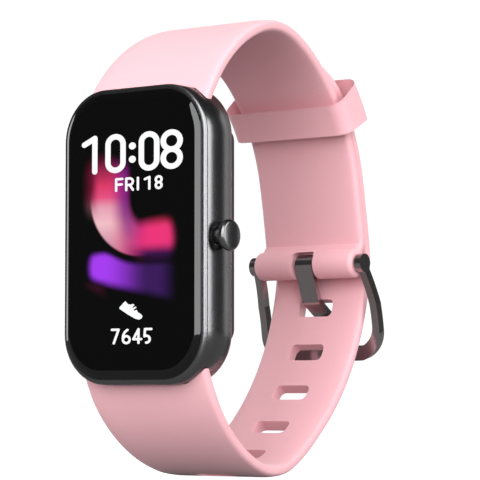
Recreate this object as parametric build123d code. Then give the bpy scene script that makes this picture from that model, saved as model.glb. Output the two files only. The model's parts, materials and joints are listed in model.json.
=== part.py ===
"""Fitness tracker band, fastened as if round a wrist.

Row frame, millimetres: X runs across the strap, along the wrist's axis. Y runs from the
screen to the buckle and Z up the case. The origin is on the wrist's axis, level with the
middle of the case. The screen faces -Y and the crown is on the +X side.
"""

from build123d import *
from math import cos, radians, sin
import os

os.makedirs("parts", exist_ok=True)

# ---------------------------------------------------------------- driving dimensions
# Case
CASE_W = 27.5  # across the wrist's axis
CASE_H = 45.0
CASE_R = 7.8  # corners seen from the front
GLASS_FRONT = -28.0  # Y of the glass's face
FRAME_FRONT = -27.5
FRAME_BACK = -20.1
RIM = 0.75  # metal seen round the glass
GLASS_T = 1.3
GASKET_T = 0.2
LEDGE_W = 0.9  # ledge that the glass is glued to
POCKET_FLOOR = -24.4  # bottom of the screen's pocket
CHANNEL_FRONT = -23.8  # front wall of the strap channels
CAVITY_W = 23.0
CAVITY_H = 32.4
END_WALL = 0.55
COVER_BACK = -17.6
DOME_BACK = -17.1
COVER_W = 24.6
COVER_H = 33.0

# Strap
STRAP_T = 2.0
STRAP_W = 23.5  # at the case
TOP_END_W = 19.5  # at the buckle
TAIL_W = 18.3
TAPER_START_Y = -22.0
TAPER_END_Y = 9.0
LAP_GAP = 0.15  # air between the two straps where they lap
LUG_W = 19.6
CHANNEL_W = 19.8
LUG_BAR = (-21.65, 18.9)  # Y and Z of the spring bar in the top channel
LUG_R = 2.0

# The top strap's inner line: tangent arcs, radius and turn in degrees, from the case
TOP_START = (-22.9, 20.0)
TOP_DIRECTION = 61.5
TOP_ARCS = [(25.5, -43.5), (14.0, -41.5), (28.4, -55.0), (200.0, -3.0)]
KEEPER_ARC = 2  # the arc that the keeper slides on
# The tail laps that arc outside the top strap, then runs down and round to the case
TAIL_TIP_DIRECTION = -31.7
TAIL_TURN_UNDER = [(20.5, -16.5), (38.0, -56.0), (12.5, -42.0), (23.5, -51.5)]
TIP_LENGTH = 12.0  # of the rounded end

# Slots in the tail
SLOT_W = 6.7
SLOT_L = 3.0
SLOT_R = 0.9
SLOT_PITCH = 8.2
SLOTS_ABOVE = 3
SLOTS_BELOW = 5
ARCS_TO_TANG = 3  # the tang's slot lies past this many of the tail's arcs
TANG_SLOT_BEYOND = 5.1

# Buckle
BAR_Y = 19.0
BAR_Z = -2.4
BAR_R = 0.75
TUBE_R = 2.4  # end of the top strap, round the bar
NOTCH_W = 4.6
FRAME_T = 1.5
EYE_R = 1.55
ARM_INNER = 10.0
EYE_HALF_W = 11.2
FRAME_HALF_W = 11.9
ARM_W = 1.3
FRAME_CORNER_R = 4.6
FLARE_START = 1.5  # distances along the frame from the bar, where its arms spread
FLARE_END = 7.0
CROSSBAR_Y = 22.7
CROSSBAR_Z = -17.2
CROSSBAR_W = 2.3
FRAME_BOW_R = 28.0
TANG_W = 3.3
TANG_PATH = [(19.9, -8.4), (24.0, -11.0), (24.4, -18.2)]  # Y and Z of its two bends and its tip
TANG_LEAVES = 200.4  # degrees round the bar from +Y where the tang leaves its curl
TANG_T = 0.9
RUN_FIT = 0.05  # radial clearance of a running fit

# Keeper
KEEPER_ANGLE = 34.1  # its place on the arc, degrees up from +Y
KEEPER_L = 6.2
KEEPER_WALL = 1.75
KEEPER_CLEAR = 0.2

# Crown, on an axis along X
CROWN_Y = -24.5
CROWN_Z = -0.5
HEAD_R = 2.35
HEAD_X = (15.4, 16.45)
NECK_R = 1.35
STEM_R = 0.7
STEM_END_X = 15.8
BUSH_R = 1.4
RECESS_R = 2.15
RECESS_FLOOR_X = 13.3


# ---------------------------------------------------------------- helpers
def save(node, shape):
    """Write one sub-part as parts/NODE.step."""
    export_step(shape, f"parts/{node}.step")


def block(x, y, z):
    """A box from three (low, high) pairs."""
    size = [high - low for low, high in (x, y, z)]
    middle = [(high + low) / 2 for low, high in (x, y, z)]
    return Pos(*middle) * Box(*size)


def slab(width, height, corner, y_low, y_high):
    """A rounded rectangle seen from the front, from y_low to y_high."""
    face = Plane.XZ * RectangleRounded(width, height, corner)
    return Pos(0, y_high, 0) * extrude(face, y_high - y_low)


def disc_y(radius, y_low, y_high, x=0.0, z=0.0):
    """A cylinder along Y."""
    middle = (y_low + y_high) / 2
    return Pos(x, middle, z) * Rot(90, 0, 0) * Cylinder(radius, y_high - y_low)


def rod_x(radius, x_low, x_high, y, z):
    """A cylinder along X."""
    middle = (x_low + x_high) / 2
    return Pos(middle, y, z) * Rot(0, 90, 0) * Cylinder(radius, x_high - x_low)


def side_prism(face, half_width):
    """A sketch with local axes Y and Z, made solid to both sides of X = 0."""
    return extrude(Plane.YZ * face, half_width, both=True)


def arc_chain(start, direction, arcs):
    """Tangent arcs in a plane, as edges."""
    edges = []
    point = Vector(*start)
    heading = Vector(cos(radians(direction)), sin(radians(direction)))
    for radius, turn in arcs:
        edge = JernArc(point, heading, radius, turn)
        point = edge @ 1
        heading = edge % 1
        edges.append(edge)
    return edges


def offset_chain(start, direction, arcs, distance):
    """The same chain moved outward, on the left of its heading, by a distance."""
    outward = Vector(-sin(radians(direction)), cos(radians(direction)))
    moved = Vector(*start) + outward * distance
    return arc_chain((moved.X, moved.Y), direction, [(r + distance, turn) for r, turn in arcs])


def strap_face(start, direction, arcs):
    """The strap's section along its length, between its inner and outer lines."""
    inner = arc_chain(start, direction, arcs)
    outer = offset_chain(start, direction, arcs, STRAP_T)
    ends = [Line(inner[0] @ 0, outer[0] @ 0), Line(inner[-1] @ 1, outer[-1] @ 1)]
    return make_face([*inner, *outer, *ends])


def taper(width_end):
    """The strap's outline seen from above: full width at the case, then narrower."""
    a = STRAP_W / 2
    b = width_end / 2
    points = [(a, -40), (a, TAPER_START_Y), (b, TAPER_END_Y), (b, 40)]
    outline = Polygon(*points, *[(-x, y) for x, y in reversed(points)], align=None)
    return Pos(0, 0, -60) * extrude(outline, 120)


def case_outline(gap):
    """The case's outline seen from the front, grown by a gap, for y below FRAME_BACK."""
    return slab(CASE_W + 2 * gap, CASE_H + 2 * gap, CASE_R + gap, -35, FRAME_BACK)


# ---------------------------------------------------------------- lines of the strap
top_inner = arc_chain(TOP_START, TOP_DIRECTION, TOP_ARCS)
keeper_centre = top_inner[KEEPER_ARC].arc_center
keeper_arc_r = TOP_ARCS[KEEPER_ARC][0]
arc_end_direction = TOP_DIRECTION + sum(turn for _, turn in TOP_ARCS[: KEEPER_ARC + 1])

lap = STRAP_T + LAP_GAP
tail_r = keeper_arc_r + lap
tip_angle = 90 + TAIL_TIP_DIRECTION
tail_start = (
    keeper_centre.X + tail_r * cos(radians(tip_angle)),
    keeper_centre.Y + tail_r * sin(radians(tip_angle)),
)
tail_arcs = [
    (tail_r, arc_end_direction - TAIL_TIP_DIRECTION),
    (TOP_ARCS[-1][0] + lap, -3.0),
    *TAIL_TURN_UNDER,
]


# ---------------------------------------------------------------- case
def lug_channel(side):
    """Open channel for a strap lug at the top (side 1) or bottom (side -1) of the case."""
    low = CAVITY_H / 2 + END_WALL
    z = sorted((side * low, side * 40))
    return block((-CHANNEL_W / 2, CHANNEL_W / 2), (CHANNEL_FRONT, 0), z)


BOSS_AT = [(x, z) for x in (-10.3, 10.3) for z in (-14.6, 14.6)]
CHASSIS_SCREW_AT = [(x, z) for x in (-8.6, 8.6) for z in (-18.6, 18.6)]


def make_case_frame():
    frame = slab(CASE_W, CASE_H, CASE_R, FRAME_FRONT, FRAME_BACK)
    front_edges = frame.edges().filter_by_position(Axis.Y, FRAME_FRONT - 0.01, FRAME_FRONT + 0.01)
    frame = fillet(front_edges, 0.7)
    back_edges = frame.edges().filter_by_position(Axis.Y, FRAME_BACK - 0.01, FRAME_BACK + 0.01)
    frame = fillet(back_edges, 1.3)
    seat_w = CASE_W - 2 * RIM
    seat_h = CASE_H - 2 * RIM
    ledge_y = GLASS_FRONT + GLASS_T + GASKET_T
    frame -= slab(seat_w, seat_h, CASE_R - RIM, -35, ledge_y)
    pocket_r = CASE_R - RIM - LEDGE_W
    frame -= slab(seat_w - 2 * LEDGE_W, seat_h - 2 * LEDGE_W, pocket_r, -35, POCKET_FLOOR)
    cavity = slab(CAVITY_W, CAVITY_H, 1.5, POCKET_FLOOR - 1, 0)
    for x, z in BOSS_AT:
        cavity -= disc_y(1.3, FRAME_BACK - 3, FRAME_BACK, x, z)
    frame -= cavity
    for x, z in BOSS_AT:
        frame -= disc_y(0.5, FRAME_BACK - 2.4, FRAME_BACK, x, z)
    for x, z in CHASSIS_SCREW_AT:
        frame -= disc_y(0.4, POCKET_FLOOR, CHANNEL_FRONT, x, z)
    for side in (1, -1):
        frame -= lug_channel(side)
        frame -= rod_x(0.45, -11.2, 11.2, LUG_BAR[0], side * LUG_BAR[1])
    frame -= rod_x(BUSH_R, 11.9, 14, CROWN_Y, CROWN_Z)
    frame -= rod_x(1.7, 11.0, 11.9, CROWN_Y, CROWN_Z)
    frame -= rod_x(RECESS_R, RECESS_FLOOR_X, 14, CROWN_Y, CROWN_Z)
    return frame


def make_cover_glass():
    back = GLASS_FRONT + GLASS_T
    glass = slab(CASE_W - 2 * RIM, CASE_H - 2 * RIM, CASE_R - RIM, GLASS_FRONT, back)
    edges = glass.edges().filter_by_position(Axis.Y, GLASS_FRONT - 0.01, GLASS_FRONT + 0.01)
    return fillet(edges, 0.9)


def make_ring_slab(width, height, corner, wall, y_low, y_high):
    outer = slab(width, height, corner, y_low, y_high)
    return outer - slab(width - 2 * wall, height - 2 * wall, corner - wall, y_low - 1, y_high + 1)


def save_front():
    back = GLASS_FRONT + GLASS_T
    seat = (CASE_W - 2 * RIM, CASE_H - 2 * RIM, CASE_R - RIM)
    save("cover_glass", make_cover_glass())
    save("glass_gasket", make_ring_slab(*seat, LEDGE_W, back, back + GASKET_T))
    save("border_mask", make_ring_slab(23.6, 41.2, 6.2, 2.0, back, back + 0.1))
    save("display_panel", slab(21.6, 40.6, 5.4, back + 0.1, back + 1.1))
    flex = block((-8, 8), (back + 1.1, back + 1.2), (-19.6, -6))
    flex += block((-4, 4), (back + 1.1, back + 1.2), (-6, 2))
    save("display_flex", flex)
    chassis = slab(21.8, 40.4, 5.0, POCKET_FLOOR - 0.8, POCKET_FLOOR)
    chassis -= block((7.3, 12), (-30, 0), (-2.6, 1.6))
    for x, z in CHASSIS_SCREW_AT:
        chassis -= disc_y(0.4, -30, 0, x, z)
    save("mid_chassis", chassis)
    screws = []
    for x, z in CHASSIS_SCREW_AT:
        head = disc_y(0.85, POCKET_FLOOR - 1.0, POCKET_FLOOR - 0.8, x, z)
        screws.append(head + disc_y(0.4, POCKET_FLOOR - 0.8, CHANNEL_FRONT - 0.1, x, z))
    save("chassis_screws", Compound(screws))


def save_board():
    board_y = (POCKET_FLOOR, POCKET_FLOOR + 0.6)
    board = block((-11.3, 7.2), board_y, (-15.4, 15.4))
    for x, z in BOSS_AT:
        board -= disc_y(1.5, -30, 0, x, z)
    save("main_board", board)
    top = board_y[1]
    sizes = [
        (-6.5, 4.5, 4.0, 5.0, 0.9),
        (-0.5, 5.0, 3.0, 3.0, 0.8),
        (4.5, 9.5, 3.2, 2.4, 0.7),
        (-4.5, 11.5, 2.4, 2.0, 0.6),
        (2.5, -10.5, 5.0, 1.6, 0.9),
        (5.0, 2.0, 1.6, 2.4, 0.5),
    ]
    chips = []
    for x, z, w, h, t in sizes:
        chips.append(block((x - w / 2, x + w / 2), (top, top + t), (z - h / 2, z + h / 2)))
    save("board_chips", Compound(chips))
    can = block((-9.6, 0.6), (top, top + 1.2), (-8.4, 0.8))
    can -= block((-9.45, 0.45), (top - 1, top + 1.05), (-8.25, 0.65))
    save("shield_can", can)
    cell = block((-8.8, 8.8), (-22.3, -18.85), (-7.6, 14.0))
    save("battery", fillet(cell.edges().filter_by(Axis.Z), 1.2))
    motor = disc_y(3.4, -22.4, -20.0, -5.4, -11.8)
    motor += block((-6.2, -4.6), (-22.4, -22.2), (-15.6, -8.2)) - disc_y(3.4, -23, -20, -5.4, -11.8)
    save("vibration_motor", motor)
    save("antenna_strip", block((-11.45, -11.25), (-23.4, -21.0), (-11.5, 11.5)))
    flex = block((9.4, 9.5), (-23.2, -18.45), (2, 5))
    flex += block((7.0, 9.4), (-18.55, -18.45), (2, 5))
    flex += block((7.2, 9.5), (-23.3, -23.2), (2, 5))
    save("sensor_flex", flex)


def save_back():
    gasket_back = FRAME_BACK + 0.2
    save("back_gasket", make_ring_slab(24.4, 32.9, 2.2, 0.45, FRAME_BACK, gasket_back))
    cover = slab(COVER_W, COVER_H, 2.3, gasket_back, COVER_BACK)
    edges = cover.edges().filter_by_position(Axis.Y, COVER_BACK - 0.01, COVER_BACK + 0.01)
    cover = fillet(edges, 1.2)
    dome = disc_y(9.0, COVER_BACK, DOME_BACK)
    rim = dome.edges().filter_by_position(Axis.Y, DOME_BACK - 0.01, DOME_BACK + 0.01)
    cover += fillet(rim, 0.3)
    pocket_back = -18.6
    pocket = slab(22.4, 30.6, 1.2, -25, pocket_back)
    screw_seat_y = -18.2
    for x, z in BOSS_AT:
        pocket -= disc_y(1.5, -26, 0, x, z)
    cover -= pocket
    cover -= disc_y(7.2, -19, -18.0)
    cover -= disc_y(6.0, -19, -17)
    cover -= block((6.6, 9.8), (-19, -18.3), (1.8, 5.2))
    for x, z in BOSS_AT:
        cover -= disc_y(0.55, -25, 0, x, z)
        cover -= disc_y(0.95, screw_seat_y, 0, x, z)
    for x in (-1.6, 1.6):
        cover -= disc_y(0.9, -25, 0, x, -12.0)
    save("back_cover", cover)
    window = disc_y(5.95, -17.7, DOME_BACK)
    save("sensor_window", fillet(window.edges().sort_by(Axis.Y)[-1], 0.2))
    save("sensor_board", disc_y(7.0, -18.5, -18.05))
    spots = [(0, 0, 1.6), (-2.6, 2.6, 0.9), (2.6, 2.6, 0.9), (-2.6, -2.6, 0.9), (2.6, -2.6, 0.9)]
    dies = []
    for x, z, s in spots:
        dies.append(block((x - s / 2, x + s / 2), (-18.05, -17.8), (z - s / 2, z + s / 2)))
    save("sensor_leds", Compound(dies))
    walls = (-18.05, -17.72)
    outer_wall = disc_y(5.9, *walls) - disc_y(5.4, -19, -17)
    inner_wall = disc_y(1.9, *walls) - disc_y(1.5, -19, -17)
    save("light_baffle", Compound([outer_wall, inner_wall]))
    pins = [disc_y(0.9, -19.2, COVER_BACK, x, -12.0) for x in (-1.6, 1.6)]
    save("charge_pins", Compound(pins))
    magnets = [block((x - 1.5, x + 1.5), (-19.8, pocket_back), (-13.5, -10.5)) for x in (-5.4, 5.4)]
    save("charge_magnets", Compound(magnets))
    screws = []
    for x, z in BOSS_AT:
        head = disc_y(0.9, screw_seat_y, screw_seat_y + 0.4, x, z)
        head -= block((x - 0.6, x + 0.6), (screw_seat_y + 0.2, 0), (z - 0.12, z + 0.12))
        screws.append(head + disc_y(0.5, FRAME_BACK - 2.3, screw_seat_y, x, z))
    save("back_screws", Compound(screws))


# ---------------------------------------------------------------- crown
def save_crown():
    at = (CROWN_Y, CROWN_Z)
    bush = rod_x(BUSH_R, 11.9, RECESS_FLOOR_X, *at) - rod_x(STEM_R + RUN_FIT, 11, 14, *at)
    save("crown_bush", bush - rod_x(1.15, 12.45, 14, *at))
    head = rod_x(HEAD_R, *HEAD_X, *at)
    head = fillet(head.edges().filter_by(GeomType.CIRCLE), 0.45)
    knob = head + rod_x(NECK_R, 13.8, HEAD_X[0] + 0.1, *at) - rod_x(STEM_R, 13, STEM_END_X, *at)
    save("crown_knob", knob)
    groove = rod_x(2, 11.55, 11.85, *at) - rod_x(0.5, 11, 12, *at)
    save("crown_stem", rod_x(STEM_R, 9.65, STEM_END_X, *at) - groove)
    clip = rod_x(1.2, 11.55, 11.85, *at) - rod_x(0.5, 11, 12, *at)
    clip -= block((11, 12), (-26, CROWN_Y), (CROWN_Z - 0.4, CROWN_Z + 0.4))
    save("crown_clip", clip)
    save("crown_oring", Pos(13.15, *at) * Rot(0, 90, 0) * Torus(0.93, 0.2))
    switch = block((7.5, 9.0), (-25.4, -23.5), (-1.9, 0.9))
    save("crown_switch", switch - rod_x(0.55, 8.2, 10, *at))
    save("switch_plunger", rod_x(0.5, 8.75, 9.65, *at))


# ---------------------------------------------------------------- straps and spring bars
KNOB_X = 7.0
KNOB_TRAVEL = 1.2


def lug_solid(side):
    """Thick end of a strap, round its spring bar; side is 1 at the top and -1 below."""
    y, z = LUG_BAR
    front = y - LUG_R
    corners = [(front, z), (front, z + 4.0), (y + 0.4, z + 4.0), (y + 1.8, z + 0.85), (y, z)]
    neck = Polygon(*corners, align=None)
    face = neck + Pos(y, z) * Circle(LUG_R)
    lug = side_prism(face, LUG_W / 2)
    return lug if side > 0 else mirror(lug, Plane.XY)


def lug_openings(side):
    """Bore of the spring bar, and the slot that its release knob slides in."""
    y, z = LUG_BAR
    bore = rod_x(BAR_R, -20, 20, y, side * z)
    across = (KNOB_X - KNOB_TRAVEL - 0.7, KNOB_X + 0.7)
    return bore + block(across, (y, y + 4), (side * z - 0.6, side * z + 0.6))


def make_strap_top():
    band = side_prism(strap_face(TOP_START, TOP_DIRECTION, TOP_ARCS), STRAP_W / 2)
    band &= taper(TOP_END_W)
    band -= case_outline(0.15)
    last_inner = top_inner[-1] @ 1
    last_outer = offset_chain(TOP_START, TOP_DIRECTION, TOP_ARCS, STRAP_T)[-1] @ 1
    flare = Polygon(
        (last_inner.X, last_inner.Y),
        (last_outer.X, last_outer.Y),
        (BAR_Y + TUBE_R, BAR_Z),
        (BAR_Y - TUBE_R, BAR_Z + 0.3),
        align=None,
    )
    end = side_prism(flare + Pos(BAR_Y, BAR_Z) * Circle(TUBE_R), TOP_END_W / 2)
    end -= block((-NOTCH_W / 2, NOTCH_W / 2), (0, 40), (-20, BAR_Z + 2.1))
    strap = band + end + lug_solid(1)
    strap -= rod_x(BAR_R, -20, 20, BAR_Y, BAR_Z)
    return strap - lug_openings(1)


def tail_slots():
    """Cutters for the tail's slots, spaced along its middle line from the tang's."""
    middle = Wire(offset_chain(tail_start, TAIL_TIP_DIRECTION, tail_arcs, STRAP_T / 2))
    above = tail_arcs[:ARCS_TO_TANG]
    to_tang = sum(radians(-turn) * (r + STRAP_T / 2) for r, turn in above) + TANG_SLOT_BEYOND
    cutters = []
    for step in range(-SLOTS_ABOVE, SLOTS_BELOW + 1):
        along = to_tang + step * SLOT_PITCH
        point = middle.position_at(along, position_mode=PositionMode.LENGTH)
        heading = middle.tangent_at(along, position_mode=PositionMode.LENGTH)
        plane = Plane((0, point.X, point.Y), x_dir=(1, 0, 0), z_dir=(0, -heading.Y, heading.X))
        cutters.append(extrude(plane * RectangleRounded(SLOT_W, SLOT_L, SLOT_R), 3, both=True))
    return cutters


def tip_cutter():
    """What the tail's rounded tip leaves away."""
    arc_degrees = TIP_LENGTH / radians(tail_r + STRAP_T / 2)
    middle = radians(tip_angle - arc_degrees / 2)
    radius = tail_r + STRAP_T / 2
    point = (0, keeper_centre.X + radius * cos(middle), keeper_centre.Y + radius * sin(middle))
    plane = Plane(point, x_dir=(-1, 0, 0), z_dir=(0, cos(middle), sin(middle)))
    root = Pos(0, -TIP_LENGTH / 2)
    ahead = root * Rectangle(40, TIP_LENGTH * 1.5, align=(Align.CENTER, Align.MIN))
    return extrude(plane * (ahead - root * Ellipse(TAIL_W / 2, TIP_LENGTH)), 6, both=True)


def make_strap_bottom():
    band = side_prism(strap_face(tail_start, TAIL_TIP_DIRECTION, tail_arcs), STRAP_W / 2)
    band &= taper(TAIL_W)
    band -= case_outline(0.15)
    band -= tip_cutter()
    for cutter in tail_slots():
        band -= cutter
    return band + lug_solid(-1) - lug_openings(-1)


def save_spring_bars():
    for name, side in (("top", 1), ("bottom", -1)):
        y = LUG_BAR[0]
        z = side * LUG_BAR[1]
        tube = rod_x(BAR_R, -9.8, 9.8, y, z) - rod_x(0.5, -8.6, 20, y, z)
        tube += rod_x(0.4, -10.9, -9.8, y, z)
        across = (KNOB_X - KNOB_TRAVEL - 0.5, KNOB_X + 0.5)
        tube -= block(across, (y, y + 4), (z - 0.5, z + 0.5))
        save(f"spring_bar_{name}", tube)
        knob_end = y + LUG_R + 0.5
        pin = rod_x(0.45, KNOB_X - 1.2, 9.9, y, z) + rod_x(0.4, 9.9, 11.1, y, z)
        save(f"release_pin_{name}", pin + disc_y(0.4, y, knob_end, KNOB_X, z))
        coil = Helix(0.9, 12.6, 0.34)
        wire = Plane(coil @ 0, z_dir=coil % 0) * RegularPolygon(0.1, 8)
        spring = sweep(wire, path=coil)
        save(f"bar_spring_{name}", Pos(-7.6, y, z) * Rot(0, 90, 0) * spring)


# ---------------------------------------------------------------- keeper
def sector(inner_r, outer_r, half_width, half_angle):
    """Part of a ring about the keeper's arc centre, centred on the keeper's place."""
    ring = Circle(outer_r) - Circle(inner_r)
    reach = 60
    rise = reach * sin(radians(half_angle))
    wedge = Polygon((0, 0), (reach, -rise), (reach, rise), align=None)
    face = Pos(keeper_centre.X, keeper_centre.Y) * Rot(0, 0, KEEPER_ANGLE) * (ring & wedge)
    return side_prism(face, half_width)


def make_keeper():
    inner_r = keeper_arc_r - KEEPER_CLEAR
    outer_r = keeper_arc_r + 2 * STRAP_T + LAP_GAP + KEEPER_CLEAR
    half_angle = KEEPER_L / 2 / radians(1) / (keeper_arc_r + STRAP_T)
    half_hole = TOP_END_W / 2 + KEEPER_CLEAR
    loop = sector(inner_r - KEEPER_WALL, outer_r + KEEPER_WALL, half_hole + KEEPER_WALL, half_angle)
    long_edges = [e for e in loop.edges() if e.geom_type == GeomType.CIRCLE]
    loop = fillet(long_edges, 1.2)
    return loop - sector(inner_r, outer_r, half_hole, half_angle * 3)


# ---------------------------------------------------------------- buckle
def make_buckle_frame():
    start = Vector(BAR_Y, BAR_Z)
    end = Vector(CROSSBAR_Y, CROSSBAR_Z)
    chord = end - start
    unit = chord.normalized()
    beyond = end + unit * (CROSSBAR_W / 2)
    bow = RadiusArc(start, beyond, FRAME_BOW_R)
    side = trace(bow, FRAME_T) + Pos(BAR_Y, BAR_Z) * Circle(EYE_R)
    body = side_prism(side, FRAME_HALF_W)
    length = (beyond - start).length
    hw = FRAME_HALF_W
    # Local X is across the strap, and local Y runs from the bar to the crossbar
    plane = Plane((0, start.X, start.Y), x_dir=(1, 0, 0), z_dir=(0, -unit.Y, unit.X))
    eye = -EYE_R
    right = [(EYE_HALF_W, eye), (EYE_HALF_W, FLARE_START), (hw, FLARE_END), (hw, length)]
    outer = Polygon(*right, *[(-x, y) for x, y in reversed(right)], align=None)
    outer = fillet(outer.vertices().group_by(Axis.Y)[-1], FRAME_CORNER_R)
    rim = length - CROSSBAR_W
    wide = hw - ARM_W
    right = [(ARM_INNER, eye - 1), (ARM_INNER, FLARE_START), (wide, FLARE_END), (wide, rim)]
    inner = Polygon(*right, *[(-x, y) for x, y in reversed(right)], align=None)
    inner = fillet(inner.vertices().group_by(Axis.Y)[-1], FRAME_CORNER_R - ARM_W + 0.1)
    body &= extrude(plane * (outer - inner), 8, both=True)
    return body - rod_x(BAR_R + RUN_FIT, -20, 20, BAR_Y, BAR_Z)


def make_tang():
    """Curl round the bar, then down inside the tail, out through its slot and on to the crossbar."""
    curl = Pos(BAR_Y, BAR_Z) * (Circle(BAR_R + RUN_FIT + TANG_T) - Circle(BAR_R + RUN_FIT))
    r = BAR_R + RUN_FIT + TANG_T / 2
    start = (BAR_Y + r * cos(radians(TANG_LEAVES)), BAR_Z + r * sin(radians(TANG_LEAVES)))
    path = FilletPolyline(start, *TANG_PATH, radius=0.9)
    face = curl + trace(path, TANG_T) - Pos(BAR_Y, BAR_Z) * Circle(BAR_R + RUN_FIT)
    return side_prism(face, TANG_W / 2)


save("case_frame", make_case_frame())
save_front()
save_board()
save_back()
save_crown()
save("strap_top", make_strap_top())
save("strap_bottom", make_strap_bottom())
save_spring_bars()
save("keeper_loop", make_keeper())
save("buckle_frame", make_buckle_frame())
save("buckle_bar", rod_x(BAR_R, -11.2, 11.2, BAR_Y, BAR_Z))
save("buckle_tang", make_tang())
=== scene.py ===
# %% [markdown]
# # A fitness tracker band, finished in Blender
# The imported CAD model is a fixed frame: every part already has its place and its joint. This
# lesson gives the frame its looks. Hard parts that are right as they are only get a material.
# Soft and glossy parts that the eye rests on are modelled again over the same space, with
# rounded edges that catch the light.
# Lengths are in metres. X runs across the strap, -Y is where the screen faces, Z is up.

# %% Load the frame
import json
import math

import bmesh
import bpy
from mathutils import Matrix, Vector


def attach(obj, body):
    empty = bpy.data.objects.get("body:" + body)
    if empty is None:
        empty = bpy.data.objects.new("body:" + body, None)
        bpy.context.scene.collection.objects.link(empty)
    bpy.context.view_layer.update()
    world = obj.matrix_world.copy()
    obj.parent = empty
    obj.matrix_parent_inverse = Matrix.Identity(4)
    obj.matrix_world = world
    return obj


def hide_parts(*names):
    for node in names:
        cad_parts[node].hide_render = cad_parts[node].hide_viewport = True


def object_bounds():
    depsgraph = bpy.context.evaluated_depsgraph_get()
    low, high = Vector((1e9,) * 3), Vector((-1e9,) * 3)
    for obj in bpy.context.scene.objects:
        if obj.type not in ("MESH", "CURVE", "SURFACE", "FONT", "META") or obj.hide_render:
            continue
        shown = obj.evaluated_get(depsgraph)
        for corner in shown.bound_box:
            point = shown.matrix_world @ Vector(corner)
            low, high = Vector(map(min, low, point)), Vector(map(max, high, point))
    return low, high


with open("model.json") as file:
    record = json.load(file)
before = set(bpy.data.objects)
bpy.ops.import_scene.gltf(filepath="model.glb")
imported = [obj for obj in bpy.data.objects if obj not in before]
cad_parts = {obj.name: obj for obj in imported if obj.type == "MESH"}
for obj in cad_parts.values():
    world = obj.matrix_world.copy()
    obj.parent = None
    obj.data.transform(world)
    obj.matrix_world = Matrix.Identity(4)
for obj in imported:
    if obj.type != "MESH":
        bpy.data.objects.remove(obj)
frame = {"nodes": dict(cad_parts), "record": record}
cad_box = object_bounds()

MM = 0.001

# %% [markdown]
# ## Camera
# A watch is best seen from far away through a long lens, so that the case keeps its proportions. The camera stands to the right of the screen, level with the lower strap and
# looking slightly up. It could be aimed with a constraint, but a direction worked out from two
# angles is easier to change and leaves nothing live in the file.

# %% Camera
CAMERA_AZIMUTH = math.radians(36.39)
CAMERA_ELEVATION = math.radians(-3.87)
CAMERA_DISTANCE = 0.3807
CAMERA_TARGET = Vector((0, -0.26, 0.73)) * MM
LENS_MM = 178.6


def direction_from(azimuth, elevation):
    """The way from the object to a place round it; azimuth 0 is in front of the screen."""
    flat = math.cos(elevation)
    return Vector((math.sin(azimuth) * flat, -math.cos(azimuth) * flat, math.sin(elevation)))


def aim(obj, direction, target, distance):
    """Stand an object at a distance from the target, looking at it."""
    obj.location = target + direction * distance
    obj.rotation_euler = (-direction).to_track_quat("-Z", "Y").to_euler()


camera = bpy.data.objects.new("camera", bpy.data.cameras.new("camera"))
bpy.context.scene.collection.objects.link(camera)
camera.data.lens = LENS_MM
camera.data.clip_start = 0.01
aim(camera, direction_from(CAMERA_AZIMUTH, CAMERA_ELEVATION), CAMERA_TARGET, CAMERA_DISTANCE)
bpy.context.scene.camera = camera
bpy.context.scene.view_settings.view_transform = "Standard"
print("camera at", [round(c, 4) for c in camera.location])

# %% [markdown]
# ## A small language for shaders
# Materials are graphs of nodes. Written node by node they get long, so one class wraps a socket
# and lets sums be written as sums: 1 - mask adds a Math node by itself. Every other node comes
# from one method, which sets the node up first and then fills or links its sockets.


# %% Shader language
class Wire:
    """A socket's value inside a material, which can be added, multiplied and so on."""

    def __init__(self, finish, socket):
        self.finish = finish
        self.socket = socket

    def math(self, operation, left, right):
        return self.finish.node("ShaderNodeMath", {"operation": operation}, {0: left, 1: right})

    def __add__(self, other):
        return self.math("ADD", self, other)

    def __sub__(self, other):
        return self.math("SUBTRACT", self, other)

    def __mul__(self, other):
        return self.math("MULTIPLY", self, other)

    def __pow__(self, other):
        return self.math("POWER", self, other)

    def __rsub__(self, other):
        return self.math("SUBTRACT", other, self)

    __radd__ = __add__
    __rmul__ = __mul__


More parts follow.
